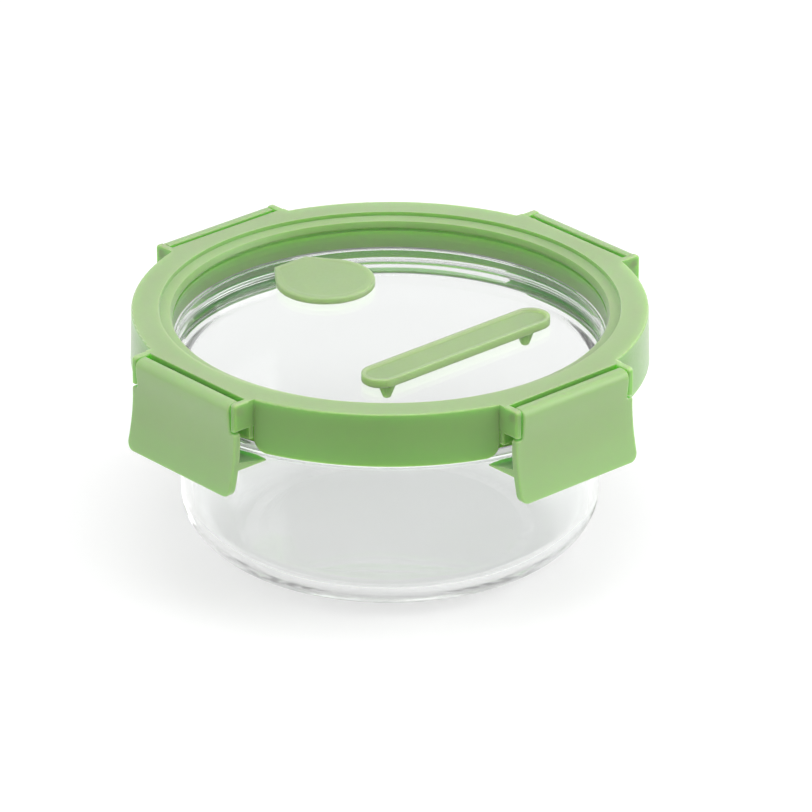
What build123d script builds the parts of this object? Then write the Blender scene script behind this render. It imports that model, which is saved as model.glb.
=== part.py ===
from build123d import *
import os
from math import atan, degrees

# A round glass food container with a four-clip snap lid, in millimetres.
# +Z is up and the origin is the centre of the base. The clips stand on the +X, +Y, -X and -Y axes.

# ---- driving dimensions -------------------------------------------------------------------------
height = 81.5  # from the table to the lid's top face, which is the datum for every "drop"

# glass bowl
base_radius = 47.6
base_thickness = 4.4
corner_run, corner_rise = 21.1, 17.3  # elliptical corner between base and wall
wall_thickness = 3.5
wall_top_radius = 70.3  # outer radius of the wall where it meets the lip
flange_radius, flange_drop, flange_edge = 81.6, 18.8, 1.9  # the lip that the clips pull against
flange_slope = 0.19  # fall of the lip's underside towards the wall
rim_inner, rim_outer, rim_drop, rim_edge = 70.1, 74.4, 13.3, 0.8  # the upstanding rim that seals
foot_radius, foot_recess = 43.6, 0.5  # shallow hollow under the base, inside a flat resting ring

# lid frame
ring_radius = 84.0
top_thickness = 2.2
ledge_outer, ledge_inner = 74.8, 71.4
ledge_drop, ledge_fall = 1.2, 0.6  # step down from the top face, then a slope towards the opening
opening_radius, opening_drop = 70.6, 3.6
inner_wall_outer, inner_wall_drop = 72.5, 12.5
retainer_inner, retainer_outer, retainer_drop = 76.5, 78.1, 18.2
channel_drop = 8.6
skirt_drop, skirt_thickness, skirt_flare, skirt_corner, skirt_edge = 18.0, 1.8, 0.5, 4.7, 0.4
rib_drop, rib_width, ribs_per_quarter, rib_span = 7.0, 1.2, 5, 32.0

# clear window and gasket
window_radius, window_drop, window_thickness = 72.4, 4.1, 2.5
gasket_inner, gasket_outer, gasket_lip_inner = 72.7, 76.3, 70.9

# seats for the clips: straight edge of the ring, wall behind the clip, and ears
clip_count = 4
chord, chord_edge = 82.2, 0.4
pocket_wall, pocket_drop = 1.6, 13.3
ear_inner, ear_outer = 22.95, 25.4  # both faces of an ear, from the clip's middle
ear_root, ear_reach, ear_drop, ear_edge = 79.8, 88.0, 9.4, 0.7

# snap clips
clip_half_width, head_half_width = 25.2, 22.7
shoulder_drop, clip_drop = 10.3, 31.8
clip_thickness = 1.8
clip_corner, shoulder_corner, clip_edge = 3.2, 0.8, 0.6  # rounding of the outline and of the outer face
roll_start, roll_end, roll_drop = 84.4, 86.0, 0.2
return_width, return_depth = 1.5, 2.4
hinge_x, hinge_drop = 85.6, 2.9
pin_radius, pin_clearance, pin_tip = 1.2, 0.05, 24.65
web_radius, web_width = 2.0, 2.0
hook_root, hook_tip = 87.6, 75.2
hook_root_drop, hook_tip_drop, hook_bottom_drop = 20.3, 22.5, 23.0

# silicone vent flap and strip, which lie on the window
vent_x, vent_y, vent_radius, vent_thickness = -32.6, 0.8, 16.3, 2.4
vent_tab_x, vent_tab_half = -50.7, 6.6
stem_radius, stem_length, stem_taper, vent_hole_radius = 3.4, 4.6, 8.0, 3.7
strip_x, strip_y, strip_length, strip_width, strip_thickness = 35.1, -2.7, 77.6, 12.6, 3.1
strip_rim, strip_recess = 1.3, 1.0
peg_spacing, peg_radius, peg_hole_radius = 60.0, 2.7, 2.9
peg_shank, peg_point, peg_tip = 4.4, 3.8, 1.3  # length of the straight part and of the cone, radius at the tip

# ---- levels that follow from them ---------------------------------------------------------------
window_top = height - window_drop
window_bottom = window_top - window_thickness
rim_top = height - rim_drop
flange_top = height - flange_drop
flange_bottom = flange_top - flange_edge
wall_root = flange_bottom - (flange_radius - wall_top_radius) * flange_slope
skirt_bottom = height - skirt_drop
skirt_inner = ring_radius - skirt_thickness
peg_taper = degrees(atan((peg_radius - peg_tip) / peg_point))
hinge_z = height - hinge_drop
shoulder_z = height - shoulder_drop


def clip_face(inset):
    """Clip's outer face from the roll down to the bottom edge, moved inwards by an inset."""
    face = [(88.8, 3.2), (88.35, 8.5), (88.6, 19.0), (91.2, clip_drop)]
    return [(x - inset, height - drop) for x, drop in face]


os.makedirs("parts", exist_ok=True)

# ---- glass bowl: one pressed piece, turned about Z ----------------------------------------------
wall_foot = base_radius + corner_run
inner_foot = wall_foot - wall_thickness
neck = (wall_top_radius - wall_thickness, wall_root - 1.0)
with BuildPart() as glass_bowl:
    with BuildSketch(Plane.XZ) as bowl_section:
        with BuildLine():
            TangentArc((0, foot_recess), (foot_radius, 0), tangent=(1, 0))
            Line((foot_radius, 0), (base_radius, 0))
            EllipticalCenterArc((base_radius, corner_rise), corner_run, corner_rise, 270, arc_size=90)
            Polyline(
                (wall_foot, corner_rise),
                (wall_top_radius, wall_root),
                (flange_radius, flange_bottom),
                (flange_radius, flange_top),
                (rim_outer, flange_top),
                (rim_outer, rim_top),
                (rim_inner, rim_top),
                (rim_inner, flange_top),
                neck,
                (inner_foot, corner_rise),
            )
            EllipticalCenterArc(
                (base_radius, corner_rise),
                corner_run - wall_thickness,
                corner_rise - base_thickness,
                270,
                arc_size=90,
            )
            Polyline((base_radius, base_thickness), (0, base_thickness), (0, foot_recess))
        make_face()
        corners = bowl_section.vertices()
        fillet(corners.filter_by_position(Axis.X, flange_radius - 0.1, flange_radius + 0.1), 0.9)
        fillet(corners.filter_by_position(Axis.Y, rim_top - 0.1, rim_top + 0.1), rim_edge)
        fillet(corners.sort_by_distance((rim_outer, flange_top))[0], 1.5)
        fillet(corners.sort_by_distance((wall_top_radius, wall_root))[0], 2.0)
        fillet(corners.sort_by_distance((rim_inner, flange_top))[0], 4.0)
        fillet(corners.sort_by_distance(neck)[0], 6.0)
    revolve(axis=Axis.Z)
glass_bowl.part.label = "glass_bowl"
export_step(glass_bowl.part, "parts/glass_bowl.step")

# ---- skirt of the lid: open behind each clip, rounded at the openings' lower corners ------------
with BuildPart() as skirt:
    with BuildSketch(Plane.XZ):
        with BuildLine():
            Polyline(
                (skirt_inner, height - top_thickness),
                (ring_radius, height - top_thickness),
                (ring_radius + skirt_flare, skirt_bottom),
                (skirt_inner + skirt_flare, skirt_bottom),
                close=True,
            )
        make_face()
    revolve(axis=Axis.Z)
    corner_start = (clip_half_width, skirt_bottom + skirt_corner)
    corner_end = (clip_half_width + skirt_corner, skirt_bottom)
    for opening_plane in (Plane.YZ, Plane.XZ):
        with BuildSketch(opening_plane):
            with BuildLine():
                Polyline((0, skirt_bottom), (0, height), (clip_half_width, height), corner_start)
                RadiusArc(corner_start, corner_end, -skirt_corner)
                Line(corner_end, (0, skirt_bottom))
            make_face()
            mirror(about=Plane.YZ)
        extrude(amount=ring_radius + skirt_corner, both=True, mode=Mode.SUBTRACT)
    for outer_face in skirt.faces().sort_by(SortBy.AREA)[-clip_count:]:
        fillet(outer_face.edges().sort_by(Axis.Z)[:-1], skirt_edge)

# ---- ear beside the clip on +X: a plate with rounded corners and edges --------------------------
with BuildPart() as ear:
    with BuildSketch(Plane.XZ.offset(ear_inner)) as ear_outline:
        with Locations((ear_reach, height)):
            Rectangle(ear_reach - ear_root, ear_drop, align=(Align.MAX, Align.MAX))
        outer_corners = ear_outline.vertices().group_by(Axis.X)[-1].sort_by(Axis.Y)
        fillet(outer_corners[-1], 1.4)
        fillet(outer_corners[0], 2.2)
    extrude(amount=ear_outer - ear_inner)
    rim = ear.edges().filter_by_position(Axis.X, ear_root + 0.1, ear_reach + 0.1)
    fillet(rim.filter_by(Axis.Y, reverse=True), ear_edge)

# ---- seat for the clip on +X: straight edge, wall behind the clip, two ears with bearings -------
with BuildPart() as clip_seat:
    with BuildSketch(Plane.XY.offset(height - top_thickness)):
        with Locations((chord, 0)):
            Rectangle(chord - retainer_outer, 2 * ear_outer, align=(Align.MAX, Align.CENTER))
    extrude(amount=top_thickness)
    with BuildSketch(Plane.XY.offset(height - pocket_drop)):
        with Locations((chord, 0)):
            Rectangle(pocket_wall, 2 * ear_outer, align=(Align.MAX, Align.CENTER))
    extrude(amount=pocket_drop)
    fillet(clip_seat.edges().filter_by(Axis.Y).group_by(Axis.Z)[-1].sort_by(Axis.X)[-1], chord_edge)
    add(ear.part)
    mirror(about=Plane.XZ)
    with BuildSketch(Plane.XZ):
        with Locations((hinge_x, hinge_z)):
            Circle(pin_radius + pin_clearance)
    extrude(amount=pin_tip + pin_clearance, both=True, mode=Mode.SUBTRACT)

# ---- lid frame: ring with window groove and gasket channel, seats, skirt and ribs ---------------
with BuildPart() as lid_frame:
    with BuildSketch(Plane.XZ) as ring_section:
        with BuildLine():
            Polyline(
                (ring_radius, height),
                (ledge_outer + 0.3, height),
                (ledge_outer, height - ledge_drop),
                (ledge_inner, height - ledge_drop - ledge_fall),
                (opening_radius, height - opening_drop),
                (opening_radius, window_top),
                (window_radius, window_top),
                (window_radius, window_bottom),
                (opening_radius, window_bottom),
                (opening_radius, height - inner_wall_drop),
                (inner_wall_outer, height - inner_wall_drop),
                (inner_wall_outer, height - channel_drop),
                (retainer_inner, height - channel_drop),
                (retainer_inner, height - retainer_drop),
                (retainer_outer, height - retainer_drop),
                (retainer_outer, height - top_thickness),
                (ring_radius, height - top_thickness),
                close=True,
            )
        make_face()
        corners = ring_section.vertices()
        fillet(corners.sort_by_distance((ring_radius, height))[0], 0.6)
        fillet(corners.sort_by_distance((ledge_outer + 0.3, height))[0], 0.8)
        fillet(corners.sort_by_distance((ledge_outer, height - ledge_drop))[0], 0.6)
        fillet(corners.sort_by_distance((ledge_inner, height - ledge_drop - ledge_fall))[0], 0.8)
    revolve(axis=Axis.Z)
    with BuildSketch(Plane.XY.offset(height - top_thickness)):
        with PolarLocations(chord - chord_edge, clip_count):
            Rectangle(ear_reach - chord + chord_edge, 2 * ear_inner, align=(Align.MIN, Align.CENTER))
    extrude(amount=top_thickness, mode=Mode.SUBTRACT)
    with PolarLocations(0, clip_count):
        add(clip_seat.part)
    add(skirt.part)
    with BuildSketch(Plane.XY.offset(height - rib_drop)):
        for quarter in range(clip_count):
            first_rib = 45 + 90 * quarter - rib_span / 2
            with PolarLocations(retainer_outer, ribs_per_quarter, first_rib, rib_span, endpoint=True):
                Rectangle(skirt_inner - retainer_outer + 0.3, rib_width, align=(Align.MIN, Align.CENTER))
    extrude(amount=rib_drop - top_thickness)
lid_frame.part.label = "lid_frame"
export_step(lid_frame.part, "parts/lid_frame.step")

# ---- lid window: a clear disc with holes for the vent stem and the strip's pegs -----------------
peg_centres = [(strip_x, strip_y + side * peg_spacing / 2) for side in (-1, 1)]
with BuildPart() as lid_window:
    with BuildSketch(Plane.XY.offset(window_bottom)):
        Circle(window_radius)
        with Locations((vent_x, vent_y)):
            Circle(vent_hole_radius, mode=Mode.SUBTRACT)
        with Locations(*peg_centres):
            Circle(peg_hole_radius, mode=Mode.SUBTRACT)
    extrude(amount=window_thickness)
lid_window.part.label = "lid_window"
export_step(lid_window.part, "parts/lid_window.step")

# ---- lid gasket: fills the channel, with a thin lip under the frame's inner wall ----------------
with BuildPart() as lid_gasket:
    with BuildSketch(Plane.XZ) as gasket_section:
        with BuildLine():
            Polyline(
                (gasket_inner, height - channel_drop),
                (gasket_outer, height - channel_drop),
                (gasket_outer, rim_top),
                (gasket_lip_inner, rim_top),
                (gasket_lip_inner, height - inner_wall_drop),
                (gasket_inner, height - inner_wall_drop),
                close=True,
            )
        make_face()
        fillet(gasket_section.vertices().sort_by_distance((gasket_outer, rim_top))[0], 0.6)
    revolve(axis=Axis.Z)
lid_gasket.part.label = "lid_gasket"
export_step(lid_gasket.part, "parts/lid_gasket.step")

# ---- snap clip on +X: plate with a rolled head, hook, side returns, webs and pins ---------------
flare = (0.27, -1)  # direction of the plate's outer face at the bottom edge
with BuildPart() as snap_clip:
    with BuildSketch(Plane.XZ):
        with BuildLine():
            roll_top = Line((roll_start, height - roll_drop), (roll_end, height - roll_drop))
            TangentArc(roll_top @ 1, clip_face(0)[0], tangent=(1, 0))
            outer = Spline(clip_face(0), tangents=((0, -1), flare))
            inner = Spline(clip_face(clip_thickness), tangents=((0, -1), flare))
            Line(outer @ 1, inner @ 1)
            under_roll = (roll_end, height - roll_drop - clip_thickness)
            TangentArc(inner @ 0, under_roll, tangent=(0, 1))
            Polyline(under_roll, (roll_start, height - roll_drop - clip_thickness), roll_top @ 0)
        make_face()
    extrude(amount=clip_half_width, both=True)
    with BuildSketch(Plane.XZ):
        with BuildLine():
            Polyline(
                (hook_root, height - hook_root_drop),
                (hook_tip, height - hook_tip_drop),
                (hook_tip, height - hook_bottom_drop),
                (hook_root, height - hook_bottom_drop),
                close=True,
            )
        make_face()
    extrude(amount=clip_half_width, both=True)
    for side in (-1, 1):
        with BuildSketch(Plane.XZ.offset(side * (clip_half_width - return_width / 2))):
            with BuildLine():
                outer = Spline(clip_face(0.4), tangents=((0, -1), flare))
                inner = Spline(clip_face(return_depth), tangents=((0, -1), flare))
                Line(outer @ 0, inner @ 0)
                Line(outer @ 1, inner @ 1)
            make_face()
        extrude(amount=return_width / 2, both=True)
    # front outline: narrow head between the ears, wide plate below, rounded lower corners
    with BuildSketch(Plane.YZ.offset(hook_tip)) as front:
        with Locations((0, height - clip_drop)):
            Rectangle(2 * head_half_width, clip_drop, align=(Align.CENTER, Align.MIN))
            plate_height = clip_drop - shoulder_drop
            Rectangle(2 * clip_half_width, plate_height, align=(Align.CENTER, Align.MIN))
        fillet(front.vertices().group_by(Axis.Y)[0], clip_corner)
        fillet(front.vertices().filter_by_position(Axis.Y, shoulder_z - 0.1, shoulder_z + 0.1), shoulder_corner)
    extrude(amount=clip_face(0)[-1][0] - hook_tip + 1, mode=Mode.INTERSECT)
    outer_face = snap_clip.faces().sort_by(SortBy.AREA)[-2:].sort_by(Axis.X)[-1]
    roll_edges = snap_clip.edges().filter_by_position(Axis.Z, height - clip_thickness, height)
    roll_edges = roll_edges.filter_by(Axis.Z, reverse=True)
    roll_ends = roll_edges.filter_by(Axis.Y, reverse=True)
    slot_edge = roll_edges.filter_by(Axis.Y).sort_by(Axis.X)[0]
    fillet(outer_face.edges().sort_by(Axis.Z)[:-1] + roll_ends + slot_edge, clip_edge)
    for side in (-1, 1):
        with BuildSketch(Plane.XZ.offset(side * (head_half_width - web_width / 2))):
            with Locations((hinge_x, hinge_z)):
                Circle(web_radius)
                Rectangle(web_radius, 2 * web_radius, align=(Align.MIN, Align.CENTER))
        extrude(amount=web_width / 2, both=True)
        with BuildSketch(Plane.XZ.offset(side * (head_half_width + pin_tip) / 2)):
            with Locations((hinge_x, hinge_z)):
                Circle(pin_radius)
        extrude(amount=(pin_tip - head_half_width) / 2, both=True)

for side_name, turn in (("right", 0), ("back", 90), ("left", 180), ("front", 270)):
    with BuildPart() as placed_clip:
        add(snap_clip.part, rotation=(0, 0, turn))
    placed_clip.part.label = f"{side_name}_clip"
    export_step(placed_clip.part, f"parts/{side_name}_clip.step")

# ---- vent flap: a round silicone flap with a straight hinged end and a stem ---------------------
with BuildPart() as vent_flap:
    with BuildSketch(Plane.XY.offset(window_top)):
        with Locations((vent_x, vent_y)):
            Circle(vent_radius)
        with Locations((vent_tab_x, vent_y)):
            Rectangle(1, 2 * vent_tab_half, align=(Align.MIN, Align.CENTER))
        make_hull()
    extrude(amount=vent_thickness)
    fillet(vent_flap.edges().group_by(Axis.Z)[-1], 0.8)
    with BuildSketch(Plane.XY.offset(window_top)):
        with Locations((vent_x, vent_y)):
            Circle(stem_radius)
    extrude(amount=-stem_length, taper=stem_taper)
vent_flap.part.label = "vent_flap"
export_step(vent_flap.part, "parts/vent_flap.step")

# ---- lid strip: a shallow silicone tray with two tapered pegs -----------------------------------
with BuildPart() as lid_strip:
    with BuildSketch(Plane.XY.offset(window_top)):
        with Locations((strip_x, strip_y)):
            SlotOverall(strip_length, strip_width, rotation=90)
    extrude(amount=strip_thickness)
    with BuildSketch(Plane.XY.offset(window_top + strip_thickness)):
        with Locations((strip_x, strip_y)):
            SlotOverall(strip_length - 2 * strip_rim, strip_width - 2 * strip_rim, rotation=90)
    extrude(amount=-strip_recess, mode=Mode.SUBTRACT)
    fillet(lid_strip.edges().group_by(Axis.Z)[-1], 0.4)
    with BuildSketch(Plane.XY.offset(window_top)):
        with Locations(*peg_centres):
            Circle(peg_radius)
    extrude(amount=-peg_shank)
    extrude(lid_strip.faces().sort_by(Axis.Z)[:2], amount=peg_point, taper=peg_taper)
    fillet(lid_strip.edges().group_by(Axis.Z)[0], 0.8)
lid_strip.part.label = "lid_strip"
export_step(lid_strip.part, "parts/lid_strip.step")
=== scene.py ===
from math import acos, atan2, cos, hypot, pi, radians, sin

import bmesh
import bpy
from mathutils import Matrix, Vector


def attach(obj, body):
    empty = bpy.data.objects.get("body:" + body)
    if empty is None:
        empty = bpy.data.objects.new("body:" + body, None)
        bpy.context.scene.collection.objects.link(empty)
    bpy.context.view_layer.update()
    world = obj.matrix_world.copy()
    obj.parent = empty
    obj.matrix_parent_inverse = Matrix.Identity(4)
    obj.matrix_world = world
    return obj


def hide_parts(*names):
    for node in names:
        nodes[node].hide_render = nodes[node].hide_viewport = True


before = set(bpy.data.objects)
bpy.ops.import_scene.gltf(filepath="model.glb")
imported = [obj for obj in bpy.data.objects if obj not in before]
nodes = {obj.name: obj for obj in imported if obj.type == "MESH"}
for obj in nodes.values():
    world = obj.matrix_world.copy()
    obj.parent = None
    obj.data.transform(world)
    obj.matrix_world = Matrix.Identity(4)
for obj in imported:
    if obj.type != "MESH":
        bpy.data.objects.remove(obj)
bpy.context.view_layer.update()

# ---- sizes, in millimetres unless a line says otherwise -----------------------------------------
MM = 0.001  # metres in a millimetre
around = 288  # segments of a turned piece
window_low, window_high = 74.93, 77.37
silicone_base = 77.42  # underside of the flap and the strip, just clear of the window
vent_centre, vent_radius = (-32.6, 0.8), 16.3
hinge_x, hinge_half = -50.7, 6.6  # the flap's straight hinged end
strip_centre, strip_length, strip_half_width = (35.1, -2.7), 77.6, 6.3
peg_reach = 30  # from the strip's middle to each peg
peg_centres = [(strip_centre[0], strip_centre[1] + side * peg_reach) for side in (-1, 1)]
vent_hole, peg_hole = 3.7, 2.9  # radii of the holes in the window


# ---- camera, floor and light, in metres ---------------------------------------------------------
def make_camera():
    azimuth, elevation, distance = radians(48.1), radians(25.25), 2.163
    sideways, aim_height = 0.0052, 0.045
    right = Vector((cos(azimuth), sin(azimuth), 0))
    back = Vector((sin(azimuth) * cos(elevation), -cos(azimuth) * cos(elevation), sin(elevation)))
    target = right * sideways + Vector((0, 0, aim_height))
    data = bpy.data.cameras.new("camera")
    data.lens, data.sensor_width = 293.3, 36
    data.clip_start, data.clip_end = 0.1, 50
    camera = bpy.data.objects.new("camera", data)
    camera.location = target + back * distance
    camera.rotation_euler = back.to_track_quat("Z", "Y").to_euler()
    bpy.context.scene.collection.objects.link(camera)
    bpy.context.scene.camera = camera


def make_floor():
    """Pale paper that gives off a little light, like a light table."""
    half = 6.0
    corners = [(-half, -half, 0), (half, -half, 0), (half, half, 0), (-half, half, 0)]
    mesh = bpy.data.meshes.new("floor")
    mesh.from_pydata(corners, [], [(0, 1, 2, 3)])
    floor = bpy.data.objects.new("floor", mesh)
    material, tree, shader = new_material("floor paper")
    set_sockets(shader, {
        "Base Color": (0.5, 0.5, 0.5, 1),
        "Emission Color": (1, 1, 1, 1),
        "Emission Strength": 0.55,
        "Roughness": 0.7,
        "Specular IOR Level": 0.1,
    })
    mesh.materials.append(material)
    bpy.context.scene.collection.objects.link(floor)


def area_light(name, place, size, power):
    """Rectangular softbox that points at the middle of the container."""
    aim = Vector((0, 0, 0.04))
    data = bpy.data.lights.new(name, "AREA")
    data.shape, data.size, data.size_y, data.energy = "RECTANGLE", *size, power
    light = bpy.data.objects.new(name, data)
    light.location = place
    light.rotation_euler = (Vector(place) - aim).to_track_quat("Z", "Y").to_euler()
    bpy.context.scene.collection.objects.link(light)


def make_light():
    """A pale dome with a dimmer patch low behind the container, and softboxes overhead, right and left."""
    world = bpy.data.worlds.new("studio")
    world.use_nodes = True
    tree = world.node_tree
    direction = coordinates(tree, "Generated")
    dome = smooth_map(tree, height(tree, direction), (0.3, 0.8), (0.7, 0.75))
    towards_patch = vector_maths(tree, "DOT_PRODUCT", direction)
    towards_patch.inputs[1].default_value = (-0.67, 0.61, 0.42)
    patch = smooth_map(tree, towards_patch.outputs["Value"], (0.85, 0.98), (1.0, 0.4))
    background = tree.nodes["Background"]
    background.inputs["Color"].default_value = (1, 1, 1, 1)
    tree.links.new(maths(tree, "MULTIPLY", dome, patch), background.inputs["Strength"])
    bpy.context.scene.world = world
    area_light("overhead softbox", (0.25, -0.2, 1.6), (1.2, 1.2), 11)
    area_light("right softbox", (1.05, 1.15, 0.8), (1.2, 1.0), 13)
    area_light("left softbox", (-1.05, -1.15, 0.8), (1.2, 1.0), 1.5)


def set_render():
    """Plain colours, and enough bounces for light that is caught inside the thick glass."""
    scene = bpy.context.scene
    scene.view_settings.view_transform = "Standard"
    scene.view_settings.look = "None"
    scene.cycles.max_bounces = 48
    scene.cycles.transmission_bounces = 40
    scene.cycles.glossy_bounces = 40
    scene.cycles.transparent_max_bounces = 24
    scene.cycles.use_denoising = True


# ---- node helpers -------------------------------------------------------------------------------
def new_material(name):
    material = bpy.data.materials.new(name)
    material.use_nodes = True
    tree = material.node_tree
    return material, tree, tree.nodes["Principled BSDF"]


def set_sockets(node, values):
    for socket, value in values.items():
        node.inputs[socket].default_value = value


def coordinates(tree, kind):
    return tree.nodes.new("ShaderNodeTexCoord").outputs[kind]


def height(tree, vector):
    split = tree.nodes.new("ShaderNodeSeparateXYZ")
    tree.links.new(vector, split.inputs["Vector"])
    return split.outputs["Z"]


def vector_maths(tree, operation, vector):
    node = tree.nodes.new("ShaderNodeVectorMath")
    node.operation = operation
    tree.links.new(vector, node.inputs[0])
    return node


def maths(tree, operation, one, two):
    """Operation on a socket and either another socket or a number."""
    node = tree.nodes.new("ShaderNodeMath")
    node.operation = operation
    tree.links.new(one, node.inputs[0])
    if isinstance(two, float):
        node.inputs[1].default_value = two
    else:
        tree.links.new(two, node.inputs[1])
    return node.outputs["Value"]


def smooth_map(tree, source, before, after=(0, 1)):
    """The source eased from the limits before to the limits after."""
    node = tree.nodes.new("ShaderNodeMapRange")
    node.interpolation_type = "SMOOTHSTEP"
    set_sockets(node, {"From Min": before[0], "From Max": before[1], "To Min": after[0], "To Max": after[1]})
    tree.links.new(source, node.inputs["Value"])
    return node.outputs["Result"]


def noise(tree, scale, detail):
    texture = tree.nodes.new("ShaderNodeTexNoise")
    set_sockets(texture, {"Scale": scale, "Detail": detail})
    tree.links.new(coordinates(tree, "Object"), texture.inputs["Vector"])
    return texture.outputs["Fac"]


def ramp(tree, source, low, high):
    """Colours between two limits, over the middle of the source's range."""
    node = tree.nodes.new("ShaderNodeValToRGB")
    for element, position, colour in zip(node.color_ramp.elements, (0.35, 0.65), (low, high)):
        element.position = position
        element.color = (*colour, 1)
    tree.links.new(source, node.inputs["Fac"])
    return node.outputs["Color"]


def uneven_colour(tree, shader, scale, detail, low, high):
    tree.links.new(ramp(tree, noise(tree, scale, detail), low, high), shader.inputs["Base Color"])


def uneven_gloss(tree, shader, scale, detail, low, high):
    grey = ramp(tree, noise(tree, scale, detail), (low,) * 3, (high,) * 3)
    tree.links.new(grey, shader.inputs["Roughness"])


def bump(tree, shader, scale, detail, distance, normal=None):
    """Noisy bumps of a height in metres, laid over another bump's normal if one is given."""
    node = tree.nodes.new("ShaderNodeBump")
    set_sockets(node, {"Distance": distance, "Strength": 1.0})
    tree.links.new(noise(tree, scale, detail), node.inputs["Height"])
    if normal is not None:
        tree.links.new(normal, node.inputs["Normal"])
    tree.links.new(node.outputs["Normal"], shader.inputs["Normal"])
    return node.outputs["Normal"]


def mixed(tree, factor, one, two):
    """Blend from colour one to colour two, each a socket or a plain colour."""
    blend = tree.nodes.new("ShaderNodeMix")
    blend.data_type = "RGBA"
    tree.links.new(factor, blend.inputs["Factor"])
    for name, colour in (("A", one), ("B", two)):
        if isinstance(colour, tuple):
            blend.inputs[name].default_value = (*colour, 1)
        else:
            tree.links.new(colour, blend.inputs[name])
    return blend.outputs["Result"]


def painted_top_sheen(tree, colour, pale):
    """Painted sheen: the colour, blended to a paler one where the surface faces up when the container is
    closed, standing in for the light that the satin tops reflect.
    """
    upward = smooth_map(tree, height(tree, coordinates(tree, "Normal")), (0.1, 0.95))
    return mixed(tree, upward, colour, pale)


def painted_glow_in_gaps(tree, colour):
    """Painted glow: the colour, more vivid in narrow gaps, standing in for light that comes through the plastic
    itself.
    """
    openness = tree.nodes.new("ShaderNodeAmbientOcclusion")
    openness.samples = 8
    openness.inputs["Distance"].default_value = 0.006
    closed = smooth_map(tree, openness.outputs["AO"], (0.15, 0.6), (1, 0))
    # painted glow colour for the narrow gaps
    return mixed(tree, closed, colour, (0.20, 0.70, 0.04))


def under_the_window(tree):
    """1 on the frame's inner wall under the window, where painted light makes the wall brighter, 0 elsewhere.
    """
    wall_reach, wall_top = 72, 76
    place = coordinates(tree, "Object")
    low = maths(tree, "LESS_THAN", height(tree, place), wall_top * MM)
    distance = vector_maths(tree, "LENGTH", place).outputs["Value"]
    near = maths(tree, "LESS_THAN", distance, hypot(wall_reach, wall_top) * MM)
    return maths(tree, "MULTIPLY", low, near)


# ---- materials ----------------------------------------------------------------------------------
def green_plastic(name, side_colours, painted_sheen_top_colours, depth, painted_light_inside_colours=None):
    """Satin plastic that light passes into to a depth, with a fine mould texture, painted sheen on faces that
    point up, painted glow in narrow gaps and, if colours are given, painted light on the inner wall under the
    window.
    """
    material, tree, shader = new_material(name)
    cloud = noise(tree, 18, 3)
    side = ramp(tree, cloud, *side_colours)
    if painted_light_inside_colours:
        # painted light: the inner wall under the window gets a much brighter green than the rest of the frame
        side = mixed(tree, under_the_window(tree), side, ramp(tree, cloud, *painted_light_inside_colours))
    # painted sheen on faces that point up, then painted glow in narrow gaps
    colour = painted_glow_in_gaps(tree, painted_top_sheen(tree, side, ramp(tree, cloud, *painted_sheen_top_colours)))
    tree.links.new(colour, shader.inputs["Base Color"])
    uneven_gloss(tree, shader, 900, 2, 0.34, 0.42)
    set_sockets(shader, {
        "IOR": 1.49,
        "Subsurface Weight": 0.8,
        "Subsurface Radius": (0.5, 1.0, 0.3),
        "Subsurface Scale": depth,
        "Sheen Weight": 0.5,
        "Sheen Roughness": 0.45,
    })
    soft_waves = bump(tree, shader, 60, 2, 0.00008)
    bump(tree, shader, 5200, 2, 0.000006, soft_waves)
    return material


def green_silicone():
    """Matt silicone of the flap and the strip, which light passes into."""
    material, tree, shader = new_material("matt green silicone")
    uneven_colour(tree, shader, 25, 3, (0.290, 0.415, 0.205), (0.308, 0.440, 0.220))
    uneven_gloss(tree, shader, 1200, 2, 0.48, 0.58)
    set_sockets(shader, {
        "IOR": 1.42,
        "Subsurface Weight": 0.8,
        "Subsurface Radius": (0.6, 1.0, 0.35),
        "Subsurface Scale": 0.02,
        "Sheen Weight": 0.3,
        "Sheen Roughness": 0.4,
    })
    bump(tree, shader, 3800, 3, 0.00001)
    return material


def gasket_silicone():
    """Frosted silicone that lets some light through."""
    material, tree, shader = new_material("frosted silicone")
    uneven_colour(tree, shader, 30, 2, (0.80, 0.83, 0.80), (0.86, 0.88, 0.85))
    uneven_gloss(tree, shader, 800, 2, 0.35, 0.45)
    set_sockets(shader, {"IOR": 1.41, "Transmission Weight": 0.35})
    bump(tree, shader, 3000, 2, 0.00001)
    return material


def clear_glass():
    """Pressed glass, faintly green, with the slow waves that pressing leaves."""
    material, tree, shader = new_material("pressed borosilicate glass")
    uneven_colour(tree, shader, 6, 2, (0.972, 0.984, 0.979), (0.982, 0.990, 0.986))
    uneven_gloss(tree, shader, 40, 3, 0.0, 0.015)
    set_sockets(shader, {"IOR": 1.47, "Transmission Weight": 1.0})
    bump(tree, shader, 22, 1, 0.0002)
    return material


def clear_plastic():
    """Clear moulded plastic, flatter than the glass, with faint handling marks in its gloss."""
    material, tree, shader = new_material("clear window plastic")
    uneven_colour(tree, shader, 8, 2, (0.985, 0.99, 0.988), (0.992, 0.995, 0.993))
    uneven_gloss(tree, shader, 300, 4, 0.0, 0.02)
    set_sockets(shader, {"IOR": 1.5, "Transmission Weight": 1.0})
    bump(tree, shader, 14, 1, 0.0001)
    return material


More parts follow.
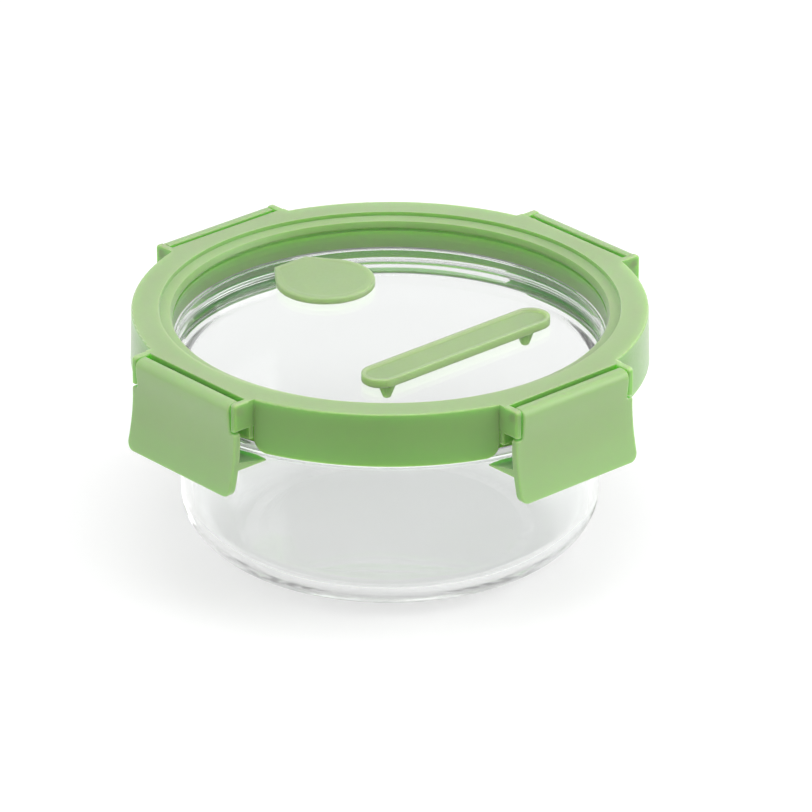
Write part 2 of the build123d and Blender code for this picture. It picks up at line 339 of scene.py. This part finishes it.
# ---- mesh helpers -------------------------------------------------------------------------------
def rounded(points, steps=10):
    """Polyline through (x, y, fillet radius) points, each corner replaced by an arc of that radius."""
    line = []
    for i, (x, y, radius) in enumerate(points):
        if radius == 0:
            line.append((x, y))
            continue
        corner = Vector((x, y))
        before = Vector(points[i - 1][:2])
        after = Vector(points[(i + 1) % len(points)][:2])
        to_before, to_after = (before - corner).normalized(), (after - corner).normalized()
        half_turn = to_before.angle(to_after) / 2
        reach = radius / sin(half_turn) * cos(half_turn)
        centre = corner + (to_before + to_after).normalized() * (radius / sin(half_turn))
        start, end = corner + to_before * reach - centre, corner + to_after * reach - centre
        sweep = start.angle_signed(end)
        first = atan2(start.y, start.x)
        for k in range(steps + 1):
            angle = first - sweep * k / steps
            line.append((centre.x + radius * cos(angle), centre.y + radius * sin(angle)))
    return line


def ellipse_quarter(centre, run, rise, from_angle, to_angle):
    """Quarter of an ellipse, as (x, y, no fillet) points, between two angles in degrees."""
    steps = 28
    points = []
    for k in range(steps + 1):
        angle = radians(from_angle + (to_angle - from_angle) * k / steps)
        points.append((centre[0] + run * cos(angle), centre[1] + rise * sin(angle), 0))
    return points


def smooth(piece):
    """Smooth shading in which large flat faces keep their own normals."""
    for face in piece.data.polygons:
        face.use_smooth = True
    piece.data.set_sharp_from_angle(angle=radians(32))
    weighting = piece.modifiers.new("weighted normals", "WEIGHTED_NORMAL")
    weighting.mode, weighting.weight, weighting.keep_sharp = "FACE_AREA", 90, True
    return piece


def finished(name, bm, material):
    bmesh.ops.recalc_face_normals(bm, faces=bm.faces)
    mesh = bpy.data.meshes.new(name)
    bm.to_mesh(mesh)
    bm.free()
    piece = bpy.data.objects.new(name, mesh)
    bpy.context.scene.collection.objects.link(piece)
    mesh.materials.append(material)
    return smooth(piece)


def turned(name, profile, material, closed):
    """Piece turned about Z from a profile of (radius, height); a radius of 0 gives one point on the axis."""
    bm = bmesh.new()
    rings = []
    for radius, z in profile:
        if radius == 0:
            rings.append([bm.verts.new((0, 0, z * MM))])
            continue
        ring = []
        for k in range(around):
            angle = 2 * pi * k / around
            ring.append(bm.verts.new((radius * cos(angle) * MM, radius * sin(angle) * MM, z * MM)))
        rings.append(ring)
    pairs = list(zip(rings, rings[1:]))
    if closed:
        pairs.append((rings[-1], rings[0]))
    for one, two in pairs:
        for k in range(around):
            n = (k + 1) % around
            if len(one) == 1:
                bm.faces.new((one[0], two[k], two[n]))
            elif len(two) == 1:
                bm.faces.new((one[k], two[0], one[n]))
            else:
                bm.faces.new((one[k], two[k], two[n], one[n]))
    return finished(name, bm, material)


def layered(name, layers, material):
    """Closed piece through loops of (x, y, z) points, all of the same length, capped at both ends."""
    bm = bmesh.new()
    loops = [[bm.verts.new(Vector(point) * MM) for point in layer] for layer in layers]
    for one, two in zip(loops, loops[1:]):
        for k in range(len(one)):
            n = (k + 1) % len(one)
            bm.faces.new((one[k], one[n], two[n], two[k]))
    bm.faces.new(loops[0])
    bm.faces.new(loops[-1])
    return finished(name, bm, material)


def rounded_post(name, x, y, profile, material):
    """Round post at (x, y) through (radius, z) points, closed at both ends."""
    count = 64
    angles = [2 * pi * k / count for k in range(count)]
    layers = [[(x + radius * cos(a), y + radius * sin(a), z) for a in angles] for radius, z in profile]
    return layered(name, layers, material)


def edge_arc(radius, top_z):
    """(inset, z) of a quarter-round top edge, from the side up to the top."""
    steps = 6
    arc = [radians(90 * k / steps) for k in range(steps + 1)]
    return [(radius * (1 - cos(a)), top_z - radius * (1 - sin(a))) for a in arc]


def combined(piece, others, operation):
    """Adds the others to the piece or cuts them from it, and uses them up."""
    piece.modifiers.clear()
    for other in others:
        modifier = piece.modifiers.new(operation, "BOOLEAN")
        modifier.operation, modifier.solver, modifier.object = operation, "EXACT", other
    graph = bpy.context.evaluated_depsgraph_get()
    mesh = bpy.data.meshes.new_from_object(piece.evaluated_get(graph))
    piece.modifiers.clear()
    old = piece.data
    piece.data = mesh
    bpy.data.meshes.remove(old)
    for other in others:
        bpy.data.objects.remove(other)
    smooth(piece)


# ---- pieces -------------------------------------------------------------------------------------
def make_bowl(material):
    foot_radius, recess = 43.6, 0.5
    base_radius, corner_rise, base_thickness = 47.6, 17.3, 4.4
    outer_run, inner_run, wall_top_outer, wall_top_inner = 21.1, 17.6, 70.3, 66.8
    lip_radius, lip_low, lip_inner_low, lip_top = 81.6, 60.8, 58.65, 62.7
    rim_inner, rim_outer, rim_top = 70.1, 74.4, 68.2
    recess_steps = 16
    outline = []
    for k in range(recess_steps + 1):
        angle = k * pi / 2 / recess_steps
        outline.append((foot_radius * sin(angle), recess * cos(angle) ** 2, 0))
    outline += ellipse_quarter((base_radius, corner_rise), outer_run, corner_rise, -90, 0)
    outline += [
        (wall_top_outer, lip_inner_low, 2.0),
        (lip_radius, lip_low, 0.9),
        (lip_radius, lip_top, 0.9),
        (rim_outer, lip_top, 1.5),
        (rim_outer, rim_top, 0.8),
        (rim_inner, rim_top, 0.8),
        (rim_inner, lip_top, 4.0),
        (wall_top_inner, 57.65, 6.0),
    ]
    outline += ellipse_quarter((base_radius, corner_rise), inner_run, corner_rise - base_thickness, 0, -90)
    outline += [(0, base_thickness, 0)]
    piece = turned("pressed_glass_bowl", rounded(outline), material, closed=False)
    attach(piece, "bowl")
    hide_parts("glass_bowl")


def make_window(material):
    radius, edge, chamfer = 72.3, 0.25, 0.2
    profile = [(0, window_low, 0), (radius, window_low, edge), (radius, window_high, edge), (0, window_high, 0)]
    piece = turned("clear_lid_window", rounded(profile, 4), material, closed=False)
    cutters = []
    for x, y, hole in [(*vent_centre, vent_hole)] + [(*centre, peg_hole) for centre in peg_centres]:
        wall = [
            (hole + 3 * chamfer, window_low - 2 * chamfer),
            (hole, window_low + chamfer),
            (hole, window_high - chamfer),
            (hole + 3 * chamfer, window_high + 2 * chamfer),
        ]
        cutters.append(rounded_post("hole", x, y, wall, material))
    combined(piece, cutters, "DIFFERENCE")
    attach(piece, "lid")
    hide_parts("lid_window")


def make_gasket(material):
    inner, outer, lip = 72.75, 76.25, 70.9
    low_z, lip_z, high_z = 68.23, 68.97, 72.87
    profile = [
        (outer, high_z, 0.4),
        (outer, low_z, 0.6),
        (lip, low_z, 0.3),
        (lip, lip_z, 0.3),
        (inner, lip_z, 0.2),
        (inner, high_z, 0.4),
    ]
    piece = turned("lid_seal", rounded(profile, 5), material, closed=True)
    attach(piece, "lid")
    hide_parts("lid_gasket")


def flap_outline(inset, z):
    """Hull of the round flap and its straight hinged end, moved inwards by an inset."""
    x0, y0 = vent_centre
    radius, tab_x = vent_radius - inset, hinge_x + inset
    reach = hypot(x0 - tab_x, hinge_half)
    tangent = pi - atan2(hinge_half, x0 - tab_x) - acos(radius / reach)
    round_steps, side_steps = 120, 12
    points = []
    for k in range(round_steps + 1):
        angle = -tangent + 2 * tangent * k / round_steps
        points.append((x0 + radius * cos(angle), y0 + radius * sin(angle), z))
    corners = [points[-1][:2], (tab_x, y0 + hinge_half), (tab_x, y0 - hinge_half), points[0][:2]]
    for start, end in zip(corners, corners[1:]):
        for k in range(1, side_steps + 1):
            points.append((*(a + (b - a) * k / side_steps for a, b in zip(start, end)), z))
    return points[:-1]


def make_flap(material):
    top_z = 79.8
    profile = [(0.35, silicone_base), (0, silicone_base + 0.35)] + edge_arc(0.8, top_z)
    # a shallow dish on the top, inside a narrow raised border
    profile += [(2.0, top_z), (2.5, top_z - 0.12), (3.2, top_z - 0.18), (6.0, top_z - 0.2)]
    piece = layered("silicone_vent_flap", [flap_outline(*level) for level in profile], material)
    stem = [(3.4, silicone_base + 0.6), (3.4, silicone_base), (3.0, 74.4), (2.75, 73.1), (2.3, 72.8)]
    combined(piece, [rounded_post("stem", *vent_centre, stem, material)], "UNION")
    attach(piece, "vent_flap_body")
    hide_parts("vent_flap")


def strip_outline(inset, z):
    """Round-ended outline of the strip, which lies along Y, moved inwards by an inset."""
    x0, y0 = strip_centre
    radius, half = strip_half_width - inset, strip_length / 2 - strip_half_width
    steps = 40
    points = []
    for end, start in ((1, 0), (-1, pi)):
        for k in range(steps + 1):
            angle = start + pi * k / steps
            points.append((x0 + radius * cos(angle), y0 + end * half + radius * sin(angle), z))
    return points


def make_strip(material):
    top_z, rim, recess = 80.5, 1.3, 1.0
    profile = [(0.3, silicone_base), (0, silicone_base + 0.3)] + edge_arc(0.45, top_z)
    # the rounded inner edge of the rim, down to the floor of the tray
    profile += [(rim - 0.35, top_z), (rim - 0.1, top_z - 0.1), (rim, top_z - 0.35)]
    floor_z = top_z - recess
    profile += [(rim + 0.1, floor_z + 0.3), (rim + 0.4, floor_z + 0.05), (rim + 0.9, floor_z)]
    piece = layered("silicone_strip", [strip_outline(*level) for level in profile], material)
    peg = [(2.7, silicone_base + 0.6), (2.7, 73.4), (2.6, 72.9), (1.5, 69.9), (1.3, 69.5), (0.8, 69.2)]
    pegs = [rounded_post("peg", x, y, peg, material) for x, y in peg_centres]
    combined(piece, pegs, "UNION")
    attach(piece, "lid_strip_body")
    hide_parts("lid_strip")


def assign(node, material):
    mesh = nodes[node].data
    mesh.materials.clear()
    mesh.materials.append(material)


make_camera()
make_floor()
make_light()
set_render()

# painted sheen: paler colours for faces that point up, standing in for the light the satin tops reflect
painted_sheen_top_colours = (0.315, 0.465, 0.200), (0.332, 0.490, 0.216)
frame_plastic = green_plastic(
    "satin green plastic",
    side_colours=((0.158, 0.335, 0.070), (0.172, 0.358, 0.080)),
    painted_sheen_top_colours=painted_sheen_top_colours,
    depth=0.014,
    # painted light: much brighter green for the dim inner wall under the window
    painted_light_inside_colours=((0.280, 0.860, 0.110), (0.300, 0.880, 0.120)),
)
clip_plastic = green_plastic(
    "pale green plastic",
    side_colours=((0.245, 0.385, 0.142), (0.262, 0.410, 0.155)),
    painted_sheen_top_colours=painted_sheen_top_colours,
    depth=0.006,
)
silicone = green_silicone()
make_bowl(clear_glass())
make_window(clear_plastic())
make_gasket(gasket_silicone())
make_flap(silicone)
make_strip(silicone)
assign("lid_frame", frame_plastic)
for side in ("front", "right", "back", "left"):
    assign(f"{side}_clip", clip_plastic)
